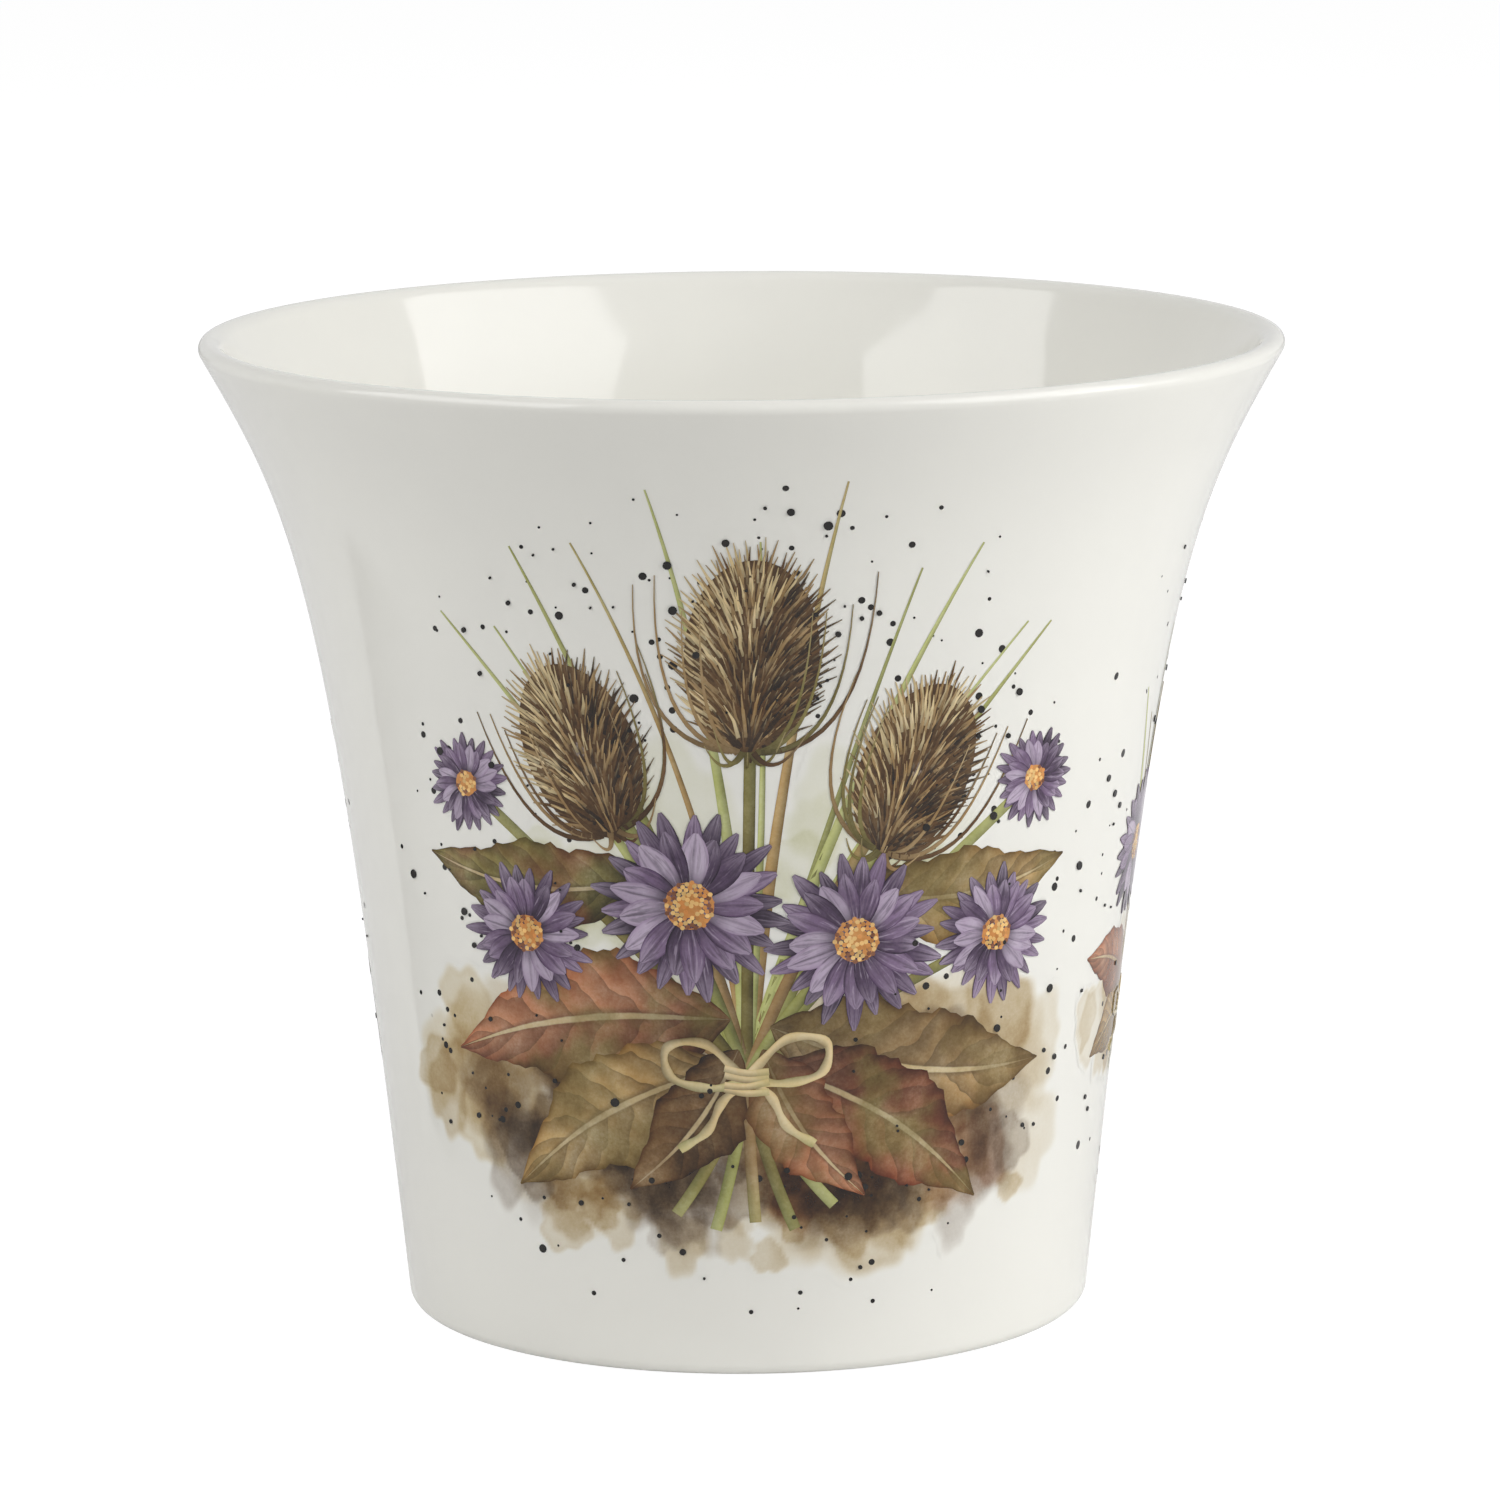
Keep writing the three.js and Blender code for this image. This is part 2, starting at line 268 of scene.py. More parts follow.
class Print:
    """Plates of paint drawn flat in millimetres, to be laid on the wall.

    Each point has a place on the sheet, a height in paint layers, a brush position, which is
    how far it lies along and across its stroke, and a tint with a random number beside it."""

    def __init__(self):
        self.points = []
        self.brush = []
        self.tints = []
        self.faces = []

    def point(self, x, y, layer, brush, tint):
        self.points.append((x, y, layer))
        self.brush.append(brush)
        self.tints.append(tint)
        return len(self.points) - 1

    def plate(self, rows, tint, layer):
        """A closed plate over a grid of (x, y, along, across, rise), left edge first in each row."""
        top = [[self.point(x, y, layer + r, (u, v), tint) for x, y, u, v, r in row] for row in rows]
        faces = []
        for lower, upper in zip(top, top[1:]):
            for k in range(len(lower) - 1):
                faces.append((lower[k], lower[k + 1], upper[k + 1], upper[k]))
        self.close(faces)

    def disc(self, x, y, radius, tint, layer, sides):
        """A closed round dab of paint."""
        turns = [math.tau * k / sides for k in range(sides)]
        ring = [(x + radius * math.cos(a), y + radius * math.sin(a)) for a in turns]
        self.close([tuple(self.point(*place, layer, (1, 1), tint) for place in ring)])

    def close(self, faces):
        """Faces of a top side, with a base under them and a skirt round their edge."""
        base = {}
        for n in dict.fromkeys(n for face in faces for n in face):
            x, y, _ = self.points[n]
            base[n] = self.point(x, y, 0, self.brush[n], self.tints[n])
        sides = dict.fromkeys(side for face in faces for side in zip(face, face[1:] + face[:1]))
        self.faces += faces
        self.faces += [tuple(base[n] for n in reversed(face)) for face in faces]
        self.faces += [(a, base[a], base[b], b) for a, b in sides if (b, a) not in sides]

    def lay(self, name, centre_angle, foot_margin, scale, material):
        """The drawn plates wrapped round the wall, as a piece that shines as the wall does."""
        places = []
        normals = []
        for x, y, layer in self.points:
            out = PRINT_BASE + PAINT_LAYER * layer
            length = foot_margin + y * scale
            place, normal = on_wall(x * scale, length, out, centre_angle)
            places.append(place)
            normals.append(normal)
        mesh = bpy.data.meshes.new(name)
        mesh.from_pydata(places, [], self.faces)
        brush = mesh.uv_layers.new(name="brush")
        tint = mesh.attributes.new("tint", "FLOAT_COLOR", "POINT")
        tint.data.foreach_set("color", [number for t in self.tints for number in t])
        for loop in mesh.loops:
            brush.data[loop.index].uv = self.brush[loop.vertex_index]
        mesh.polygons.foreach_set("use_smooth", [True] * len(self.faces))
        mesh.normals_split_custom_set_from_vertices(normals)
        return show(name, mesh, material)


# Colours of the paints

def paint(code):
    """A colour written as in a paint chart, as the light it sends back."""
    parts = [int(code[i:i + 2], 16) / 255 for i in (0, 2, 4)]
    return tuple(p / 12.92 if p <= 0.04045 else ((p + 0.055) / 1.055) ** 2.4 for p in parts)


UMBER = paint("38281a")
SEPIA = paint("624628")
BISTRE = paint("5a4d44")
TAN = paint("a08358")
STRAW = paint("d2bd90")
RUST = paint("aa7453")
RUSSET = paint("845238")
OCHRE = paint("ad8f5d")
OLIVE = paint("7b703d")
MOSS = paint("9c9c5e")
LIME = paint("c4c783")
VIOLET = paint("2f1e35")
PURPLE = paint("57445e")
MAUVE = paint("7b6583")
LILAC = paint("b9a9be")
ORANGE = paint("d38f4c")
AMBER = paint("ebc07a")
INK = paint("1c1917")
WHITE_CHINA = (0.907, 0.897, 0.838)
CLOUDED_CHINA = (0.892, 0.882, 0.826)
PINHOLE = (0.3, 0.28, 0.25)
BARE_CHINA = (0.84, 0.81, 0.74)
SOILED_CHINA = (0.66, 0.62, 0.54)


def tinted(colour, rng, spread=0.15):
    """A paint mixed a little lighter or darker, with its random number."""
    strength = 1 + rng.uniform(-spread, spread)
    return (*(min(1.0, c * strength) for c in colour), rng.random())


# Motifs, drawn in millimetres from the middle of their lowest edge. Margins: at foot and rim. Shower of ink:
# half width, half height, middle above the foot, specks. Heads: middle, width, length, lean in degrees.
# Daisies: middle, width. Leaves: start, tip, width, paint. Washes: middle, reach, dabs, range of their half
# sizes, paint, thickness.

SPRAY = {
    "margins": (18, 10),
    "shower": (42, 46, 62, 380),
    "tie": (0, 20),
    "bow": 1,
    "cut_stems": [(-9, 2), (-4, 0), (1, 1), (6, 0), (11, 3)],
    "heads": [((1, 76), 20, 31, 3), ((-21, 63), 18, 28, -22), ((22, 60), 18, 28, 24)],
    "daisies": [
        ((-38, 57), 14), ((40, 57), 14), ((-29, 38), 20), ((34, 37), 19), ((14, 38), 24), ((-7, 43), 26),
    ],
    "leaves": [
        ((-12, 46), (-45, 47), 12, OLIVE),
        ((14, 44), (46, 46), 12, OCHRE),
        ((-2, 28), (-41, 21), 17, RUST),
        ((3, 27), (42, 19), 17, TAN),
        ((-2, 22), (-31, 4), 15, OCHRE),
        ((3, 22), (31, 2), 15, RUSSET),
        ((-1, 24), (-15, 5), 11, SEPIA),
        ((2, 24), (15, 4), 11, RUST),
    ],
    "blade_tips": [(-41, 80), (-30, 90), (-12, 99), (13, 100), (31, 90), (42, 78)],
    "washes": [
        ((0, 16), (47, 15), 56, (4, 8), TAN, 0.18),
        ((-30, 18), (17, 13), 15, (4, 7), OCHRE, 0.16),
        ((3, 14), (39, 13), 56, (3, 6), BISTRE, 0.15),
        ((0, 15), (27, 11), 30, (2.5, 5), UMBER, 0.17),
        ((18, 9), (16, 9), 9, (3, 6), RUSSET, 0.15),
        ((4, 2), (38, 6), 22, (2.5, 4.5), TAN, 0.2),
        ((10, 3), (28, 5), 14, (2, 4), BISTRE, 0.14),
        ((0, 47), (28, 11), 20, (4, 8), MOSS, 0.08),
    ],
}
SPRIG = {
    "margins": (30, 38),
    "shower": (24, 36, 60, 100),
    "tie": (0, 8),
    "bow": 0.55,
    "cut_stems": [(-3, 0), (2, 1)],
    "heads": [((8, 41), 12, 19, 14)],
    "daisies": [((9, 23), 14), ((-5, 31), 20)],
    "leaves": [
        ((-1, 12), (-20, 18), 9, RUST),
        ((1, 11), (20, 13), 9, OLIVE),
        ((0, 9), (-15, 4), 8, OCHRE),
    ],
    "blade_tips": [(-13, 53), (-3, 60), (16, 56)],
    "washes": [
        ((-1, 10), (17, 7), 22, (2.5, 5), TAN, 0.18),
        ((1, 9), (12, 5), 14, (2, 4), BISTRE, 0.15),
        ((0, 26), (8, 7), 8, (2.5, 5), MOSS, 0.09),
    ],
}

# Stems and blades in millimetres
STEM_WIDTH = 1.5
STEM_BOW = 0.2
STEM_STEPS = 24
STEM_PAINTS = (OLIVE, MOSS, TAN)
BLADE_WIDTH = 2.2
FINE_BLADE_WIDTH = 0.6 * BLADE_WIDTH
FINE_BLADE_STRAY = ((-3, 3), (-9, -3))
BLADE_TIP_WIDTH = 0.25
BLADE_SWAY = (-4, 4)
BLADE_STEPS = 30
BLADE_PAINTS = (LIME, MOSS, LIME, OCHRE)

# Leaves, with the waves of their edges as count and height
LEAF_WIDEST = 0.42
LEAF_BOW = 0.07
LEAF_WAVES = ((2.5, 0.09), (8, 0.05), (17, 0.03))
LEAF_HALF_TIP = 0.12
LEAF_STEP = 0.9
LEAF_FEWEST_STEPS = 16

# Asters, as shares of their radius; each ring of petals as number, length and paints
PETAL_RINGS = (
    (22, 1.0, (PURPLE, MAUVE, PURPLE, VIOLET)),
    (17, 0.8, (MAUVE, LILAC, PURPLE, MAUVE)),
)
PETAL_START = 0.12
PETAL_LENGTH = (0.86, 1.0)
PETAL_FULLNESS = (0.62, 0.8)
PETAL_STRAY = (-0.2, 0.2)
PETAL_HALF_TIP = 0.06
BUTTON_SHARE = 0.24
BUTTON_HEART = 0.7
FLORETS_PER_AREA = 9
FEWEST_FLORETS = 30
FLORET_FULLNESS = 0.95
GOLDEN_ANGLE = 2.39996

# Teasel heads, as shares of their size, with widths of strokes in millimetres
HEAD_CORE = 0.42
HEAD_RINGS = 7
HEAD_SIDES = 36
HEAD_BRUSH = (0.2, 0.5)
SPINES_PER_AREA = 0.62
SPINE_LENGTH = 0.1
SPINE_GROWTH = 0.05
SPINE_VARIETY = (0.75, 1.2)
SPINE_ROOT = 0.3
SPINE_BEND = (-0.08, 0.08)
SPINE_HALF_WIDTH = (0.16, 0.26)
SPINE_SHADE = (-0.35, 0.35)
SPINE_HALF_TIP = 0.04
SPINE_PAINTS = (UMBER, SEPIA, TAN, STRAW)
LOWEST_SPINES = -0.75
BRACTS = 13
BRACT_STEPS = 12
BRACT_WIDTHS = (0.75, 0.1)
BRACT_STRAY = (-0.08, 0.08)
BRACT_PAINTS = (OLIVE, TAN, SEPIA)
HANGING_BRACTS = 0.4

# The tie in millimetres: one side of its bow, and the turns round the stems
BOW_LOOP = [(0, 0), (5, 5), (10, 4.5), (9.5, 0.5), (4.5, -0.8), (0, 0)]
BOW_TAIL = [(0, 0), (3, -2.5), (5, -6.5), (8.5, -9)]
BOW_SLANT = 0.3
BOW_HALF_WIDTH = 0.55
BOW_WOBBLE = 0.1
TIE_TURNS = 4
TURN_PITCH = 0.9
TURN_REACH = 2.8
TURN_SAG = 0.4
TURN_TILT = (-0.5, 0.5)
TURN_HALF_WIDTH = 0.45

# Dabs of a wash, with the lobes of their edges as count and height
DAB_THICKNESS = (0.6, 1.4)
DAB_STRETCH = (0.8, 1.7)
DAB_TURN = 0.4
DAB_SOFTNESS = (0.12, 0.5)
DAB_REACH = 1.2
DAB_LOBES = ((3, 0.13), (7, 0.07))
POOL_DEPTH = 0.35
POOL_PLACE = 0.85
POOL_WIDTH = 0.1

# Specks of ink, in millimetres and shares of a shower's size
SPECK_LOWEST = 7
SPECK_HIGHEST = 119
SPECK_LAYERS = (1.6, 1.6, 1.6, 28)
SPECK_SHARE = (0.5, 1.25)
SPECK_STRAY = 2
SPECK_SMALLEST = 0.16
SPECK_GROWTH = 0.46

# Order in which the paints lie over each other, in layers
WASH_LAYER = 1
WASH_PITCH = 0.4
WASH_THINNEST = 0.002
BLADE_LAYER = 2
STEM_LAYER = 4
LEAF_LAYER = 6
HEAD_LAYER = 11
SPINE_LAYER = HEAD_LAYER + 0.8
BRACT_LAYER = HEAD_LAYER + 2.6
DAISY_LAYER = 15
DAISY_PITCH = 2
PETAL_PITCH = 2
FLORET_PITCH = 0.6
TIE_LAYER = 27
BOW_PITCH = 0.7
TURN_LAYER = TIE_LAYER + 1.6


def bent_line(start, bend, end, steps):
    shares = [i / steps for i in range(steps + 1)]
    return [start * (1 - t) ** 2 + bend * 2 * t * (1 - t) + end * t * t for t in shares]


def bowed_line(start, end, steps, sway=0):
    """The line of a blade or stem from one point to another, steeper at its start."""
    a, c = Vector(start), Vector(end)
    b = (a + c) / 2 - Vector(((c.x - a.x) * STEM_BOW - sway, 0))
    return bent_line(a, b, c, steps)


def grid(spot, steps, columns, rise=0):
    """Rows of a plate, from the place at each share along and across; its right edge may rise."""
    rows = []
    for i in range(steps + 1):
        u = i / steps
        row = []
        for k in range(columns + 1):
            v = k / columns
            place = spot(u, v)
            row.append((place.x, place.y, u, v, rise * v))
        rows.append(row)
    return rows


def spiral(count):
    """Places spread evenly over a circle of radius 1, in the spiral in which florets grow."""
    for k in range(count):
        share = math.sqrt((k + 0.5) / count)
        turn = k * GOLDEN_ANGLE
        yield share, share * math.cos(turn), share * math.sin(turn)


def ribbon(sheet, line, half_widths, tint, layer, columns=2, rise=0):
    """A stroke of paint along a line."""
    rows = []
    for i, place in enumerate(line):
        along = (line[min(i + 1, len(line) - 1)] - line[max(i - 1, 0)]).normalized()
        right = right_of(along)
        u = i / (len(line) - 1)
        row = []
        for k in range(columns + 1):
            v = k / columns
            spot = place + right * half_widths[i] * (2 * v - 1)
            row.append((spot.x, spot.y, u, v, rise * u))
        rows.append(row)
    sheet.plate(rows, tint, layer)


def taper(start, end, steps):
    """Half widths of a stroke that narrows from one width to another."""
    return [(start + (end - start) * i / steps) / 2 for i in range(steps + 1)]


def draw_grass(sheet, motif, rng):
    """Long blades behind the flowers, with finer ones between them."""
    tips = [Vector(tip) for tip in motif["blade_tips"]]
    finer = []
    for a, b in zip(tips, tips[1:]):
        stray = Vector([rng.uniform(*reach) for reach in FINE_BLADE_STRAY])
        finer.append((a + b) / 2 + stray)
    for i, tip in enumerate(tips + finer):
        width = BLADE_WIDTH if i < len(tips) else FINE_BLADE_WIDTH
        widths = taper(width, BLADE_TIP_WIDTH, BLADE_STEPS)
        line = bowed_line(motif["tie"], tip, BLADE_STEPS, rng.uniform(*BLADE_SWAY))
        tint = tinted(BLADE_PAINTS[i % len(BLADE_PAINTS)], rng)
        ribbon(sheet, line, widths, tint, BLADE_LAYER + i % 3 / 2)


def draw_stems(sheet, motif, rng):
    ends = [flower[0] for flower in motif["heads"] + motif["daisies"]] + motif["cut_stems"]
    widths = taper(STEM_WIDTH, STEM_WIDTH, STEM_STEPS)
    for i, end in enumerate(ends):
        line = bowed_line(motif["tie"], end, STEM_STEPS)
        tint = tinted(STEM_PAINTS[i % len(STEM_PAINTS)], rng)
        ribbon(sheet, line, widths, tint, STEM_LAYER + i % 4 / 2)


def uneven(rng):
    """A wandering line about 1, for an edge drawn by hand."""
    waves = [(count, height, rng.uniform(0, math.tau)) for count, height in LEAF_WAVES]
    return lambda u: 1 + sum(h * math.sin(math.tau * n * u + phase) for n, h, phase in waves)


def draw_leaf(sheet, leaf, layer, rng):
    """A beech leaf: bowed midrib, uneven edges, pointed tip."""
    start, tip, width, colour = leaf
    start = Vector(start)
    rise = Vector(tip) - start
    right = right_of(rise).normalized()
    skew = math.log(0.5) / math.log(LEAF_WIDEST)
    bow = rise.length * rng.choice((-LEAF_BOW, LEAF_BOW))
    left_edge, right_edge = uneven(rng), uneven(rng)

    def spot(u, v):
        half = max(width / 2 * math.sin(math.pi * u ** skew), LEAF_HALF_TIP)
        middle = start + rise * u + right * bow * math.sin(math.pi * u)
        reach = half * (right_edge(u) if v > 0.5 else left_edge(u))
        return middle + right * reach * (2 * v - 1)

    steps = max(LEAF_FEWEST_STEPS, round(rise.length / LEAF_STEP))
    sheet.plate(grid(spot, steps, columns=14), tinted(colour, rng, spread=0.1), layer)


def draw_daisy(petals, florets, daisy, layer, rng):
    """An aster: two rings of narrow petals round a button of florets."""
    middle, radius = Vector(daisy[0]), daisy[1] / 2
    for ring, (count, size, paints) in enumerate(PETAL_RINGS):
        first = rng.uniform(0, math.tau)
        for k in range(count):
            turn = first + math.tau * (k + rng.uniform(*PETAL_STRAY)) / count
            way = Vector((math.cos(turn), math.sin(turn)))
            reach = (PETAL_START * radius, radius * size * rng.uniform(*PETAL_LENGTH))
            half = math.pi * radius / count * rng.uniform(*PETAL_FULLNESS)
            tint = tinted(rng.choice(paints), rng)
            draw_petal(petals, middle, way, reach, half, tint, layer + PETAL_PITCH * ring)
    button_layer = layer + PETAL_PITCH * len(PETAL_RINGS)
    draw_button(florets, middle, radius * BUTTON_SHARE, button_layer, rng)


def draw_petal(sheet, middle, way, reach, half, tint, layer):
    """A strap petal with a round tip, its right edge lying over its neighbour."""
    right = right_of(way)
    start, end = reach

    def spot(u, v):
        wide = max(half * math.sin(math.pi * (0.1 + 0.88 * u) ** 1.25) ** 0.7, PETAL_HALF_TIP)
        return middle + way * (start + (end - start) * u) + right * wide * (2 * v - 1)

    sheet.plate(grid(spot, steps=9, columns=4, rise=1.4), tint, layer)


def draw_button(sheet, middle, radius, layer, rng):
    """A disc with florets over it, darker towards the rim."""
    sheet.disc(*middle, radius, (*ORANGE, 0.5), layer, sides=28)
    count = max(FEWEST_FLORETS, round(radius * radius * FLORETS_PER_AREA))
    size = radius * FLORET_FULLNESS / math.sqrt(count)
    for share, x, y in spiral(count):
        colour = rng.choice((AMBER, ORANGE, AMBER) if share < BUTTON_HEART else (ORANGE, RUSSET, AMBER))
        tint = tinted(colour, rng, spread=0.2)
        place = middle + radius * Vector((x, y))
        sheet.disc(*place, size, tint, layer + FLORET_PITCH, sides=7)


def draw_head(sheet, head, rng):
    """A teasel: an oval core, spines laid over it as on a roof, and a cup of long bracts."""
    middle, width, length, lean = head
    up = direction(math.radians(lean))
    across = right_of(up)

    def spot(a, b):
        return Vector(middle) + across * a * (HEAD_CORE * width) + up * b * (HEAD_CORE * length)

    turns = [math.tau * k / HEAD_SIDES for k in range(HEAD_SIDES + 1)]
    for ring in range(HEAD_RINGS):
        rows = []
        for share in ((ring + 1) / HEAD_RINGS, ring / HEAD_RINGS):
            spots = [spot(share * math.cos(t), share * math.sin(t)) for t in turns]
            rows.append([(*s, *HEAD_BRUSH, 0) for s in spots])
        sheet.plate(rows, (*SEPIA, ring / HEAD_RINGS), HEAD_LAYER)
    for share, a, b in spiral(round(width * length * SPINES_PER_AREA)):
        way = across * a * 1.1 + up * (0.75 + 0.35 * b)
        if b < LOWEST_SPINES:
            way = across * a * 1.6 + up * 0.4
        size = (SPINE_LENGTH + SPINE_GROWTH * share) * length * rng.uniform(*SPINE_VARIETY)
        draw_spine(sheet, spot(a, b), way.normalized(), size, 0.5 - 0.35 * a + 0.2 * b, rng)
    draw_bracts(sheet, spot, rng)


def draw_spine(sheet, seat, way, length, shade, rng):
    """A spine that bends a little, in a paler paint for a higher shade."""
    start = seat - way * length * SPINE_ROOT
    bend = right_of(way) * length * rng.uniform(*SPINE_BEND)
    line = [start, start + way * length * 0.5 + bend, start + way * length]
    wide = rng.uniform(*SPINE_HALF_WIDTH)
    shade += rng.uniform(*SPINE_SHADE)
    last = len(SPINE_PAINTS) - 1
    colour = SPINE_PAINTS[min(last, max(0, int(shade * len(SPINE_PAINTS))))]
    widths = [wide, wide * 0.75, SPINE_HALF_TIP]
    ribbon(sheet, line, widths, tinted(colour, rng, spread=0.2), SPINE_LAYER, columns=1, rise=1.5)


def draw_bracts(sheet, spot, rng):
    """Bracts that curve up beside a head, with shorter ones hanging in the middle."""
    middle = (BRACTS - 1) / 2
    widths = taper(*BRACT_WIDTHS, BRACT_STEPS)
    for k in range(BRACTS):
        side = (k - middle) / middle + rng.uniform(*BRACT_STRAY)
        start = spot(side * 0.25, -0.98)
        bend = spot(side * 1.7, -0.95 + 0.1 * rng.random())
        end = spot(side * 1.75, 0.15 + 0.7 * abs(side) * rng.uniform(0.6, 1.2))
        if abs(side) < HANGING_BRACTS:
            bend = spot(side * 1.2, -1.3)
            end = spot(side * 2.4, -1.0 + 0.25 * rng.random())
        tint = tinted(rng.choice(BRACT_PAINTS), rng)
        ribbon(sheet, bent_line(start, bend, end, BRACT_STEPS), widths, tint, BRACT_LAYER + k % 3 / 3)


def draw_tie(sheet, motif, rng):
    """Turns of raffia round the stems, with a bow."""
    knot = Vector(motif["tie"])
    size = motif["bow"]
    for side in (-1, 1):
        for layer, shape in enumerate((BOW_TAIL, BOW_LOOP)):
            places = [knot + size * Vector((side * x, y + BOW_SLANT * side)) for x, y in shape]
            line = smooth_line(places, steps=8)
            widths = [BOW_HALF_WIDTH * size + BOW_WOBBLE * math.sin(i * 0.9) for i in range(len(line))]
            ribbon(sheet, line, widths, tinted(STRAW, rng), TIE_LAYER + BOW_PITCH * layer)
    for k in range(TIE_TURNS):
        level = knot.y + (k - (TIE_TURNS - 1) / 2) * TURN_PITCH * size
        tilt = rng.uniform(*TURN_TILT) * size
        shape = ((-TURN_REACH, -tilt), (0, -TURN_SAG), (TURN_REACH, tilt))
        line = smooth_line([Vector((knot.x + x * size, level + y)) for x, y in shape], steps=5)
        widths = [TURN_HALF_WIDTH * size] * len(line)
        ribbon(sheet, line, widths, tinted(STRAW, rng), TURN_LAYER + k % 2 / 2)


def smooth_line(places, steps):
    """A curve through a row of places, with so many steps between each two."""
    ends = [places[0] * 2 - places[1]] + places + [places[-1] * 2 - places[-2]]
    line = [places[0]]
    for a, b, c, d in zip(ends, ends[1:], ends[2:], ends[3:]):
        for i in range(1, steps + 1):
            t = i / steps
            line.append(b + (c - a) * t / 2 + (a * 2 - b * 5 + c * 4 - d) * t * t / 2
                        + (b * 3 - a - c * 3 + d) * t ** 3 / 2)
    return line


def scatter_dabs(wash, rng):
    """Dabs of one brushful: where each lies, its half sizes, turn, softness, lobes and depth of colour."""
    (x, y), (wide, high), count, sizes, colour, thickness = wash
    dabs = []
    for _ in range(count):
        turn, share = rng.uniform(0, math.tau), math.sqrt(rng.random())
        half = rng.uniform(*sizes)
        thick = thickness * rng.uniform(*DAB_THICKNESS)
        dabs.append({
            "x": x + wide * share * math.cos(turn),
            "y": y + high * share * math.sin(turn),
            "half": (half, half * rng.uniform(*DAB_STRETCH)),
            "turn": rng.gauss(0, DAB_TURN),
            "softness": rng.uniform(*DAB_SOFTNESS),
            "lobes": [rng.uniform(0, math.tau) for _ in DAB_LOBES],
            "depth": [-thick * math.log(c) for c in colour],
        })
    return dabs


def dab_cover(dab, x, y):
    """How thick a dab lies at each place: full inside, pooled near its edge, nothing beyond."""
    away_x, away_y = x - dab["x"], y - dab["y"]
    cosine, sine = math.cos(dab["turn"]), math.sin(dab["turn"])
    across = (away_x * cosine + away_y * sine) / dab["half"][0]
    upward = (away_y * cosine - away_x * sine) / dab["half"][1]
    bearing = numpy.arctan2(upward, across)
    edge = numpy.ones_like(bearing)
    for (count, height), start in zip(DAB_LOBES, dab["lobes"]):
        edge += height * numpy.sin(count * bearing + start)
    share = numpy.hypot(across, upward) / edge
    inside = numpy.clip((1 - share) / dab["softness"], 0, 1)
    pooled = 1 + POOL_DEPTH * numpy.exp(-((share - POOL_PLACE) / POOL_WIDTH) ** 2)
    return inside * inside * (3 - 2 * inside) * pooled


def draw_wash(sheet, motif, rng):
    """Thin dabs behind the motif, deeper where they overlap; the tint is the light they let through."""
    dabs = [dab for wash in motif["washes"] for dab in scatter_dabs(wash, rng)]
    reach = [DAB_REACH * max(dab["half"]) for dab in dabs]
    left, low = (min(dab[axis] - r for dab, r in zip(dabs, reach)) for axis in "xy")
    right, high = (max(dab[axis] + r for dab, r in zip(dabs, reach)) for axis in "xy")
    columns, rows = round((right - left) / WASH_PITCH), round((high - low) / WASH_PITCH)
    x, y = numpy.meshgrid(numpy.linspace(left, right, columns + 1), numpy.linspace(low, high, rows + 1))
    depth = numpy.zeros((*x.shape, 3))
    for dab in dabs:
        depth += dab_cover(dab, x, y)[..., None] * dab["depth"]
    wet = depth.sum(axis=2) > WASH_THINNEST
    clear = numpy.exp(-depth)
    points = {}
    faces = []
    for i in range(rows):
        for k in range(columns):
            corners = ((i, k), (i, k + 1), (i + 1, k + 1), (i + 1, k))
            if any(wet[c] for c in corners):
                for c in corners:
                    if c not in points:
                        points[c] = sheet.point(x[c], y[c], WASH_LAYER, (1, 1), (*clear[c], 1))
                faces.append(tuple(points[c] for c in corners))
    sheet.close(faces)


# Nodes

class Nodes:
    """Short ways to add nodes to one node tree."""

    def __init__(self, tree):
        self.tree = tree

    def add(self, kind, inputs=None, **settings):
        made = self.tree.nodes.new("ShaderNode" + kind)
        for name, value in settings.items():
            setattr(made, name, value)
        for key, value in (inputs or {}).items():
            self.put(made.inputs[key], value)
        return made

    def put(self, socket, value):
        """Link or set a socket; a tuple is a colour without its alpha."""
        if isinstance(value, bpy.types.NodeSocket):
            self.tree.links.new(value, socket)
        elif isinstance(value, tuple):
            socket.default_value = (*value, 1)
        else:
            socket.default_value = value

    def math(self, operation, *values):
        made = self.add("Math", dict(enumerate(values)), operation=operation)
        return made.outputs[0]

    def times(self, first, second):
        return self.math("MULTIPLY", first, second)

    def between(self, value, low, high, to_low=0.0, to_high=1.0):
        """A value taken smoothly from one range to another."""
        inputs = {"Value": value, "From Min": low, "From Max": high, "To Min": to_low, "To Max": to_high}
        return self.add("MapRange", inputs, interpolation_type="SMOOTHSTEP").outputs[0]

    def mix(self, share, first, second, blend="MIX"):
        made = self.add("Mix", {0: share, 6: first, 7: second}, data_type="RGBA", blend_type=blend)
        return made.outputs[2]

    def noise(self, place, scale, detail=2.0, rough=0.5):
        inputs = {"Vector": place, "Scale": scale, "Detail": detail, "Roughness": rough}
        return self.add("TexNoise", inputs).outputs[0]

    def place(self):
        return self.add("TexCoord").outputs["Object"]


def group(name, inputs, outputs):
    """An empty shader group and its ends; sockets are for numbers, or for colours if named so."""
    tree = bpy.data.node_groups.new(name, "ShaderNodeTree")
    for way, sockets in (("INPUT", inputs), ("OUTPUT", outputs)):
        for socket in sockets:
            kind = "NodeSocketColor" if "Color" in socket else "NodeSocketFloat"
            tree.interface.new_socket(socket, in_out=way, socket_type=kind)
    ends = tree.nodes.new("NodeGroupInput").outputs, tree.nodes.new("NodeGroupOutput").inputs
    return Nodes(tree), *ends


GLAZE_ROUGHNESS = (0.055, 0.1)
GLAZE_IOR = 1.46
GLAZE_BUMP = {"Strength": 0.25, "Distance": 0.0004}
BARE_BUMP = {"Strength": 0.4, "Distance": 0.0002}


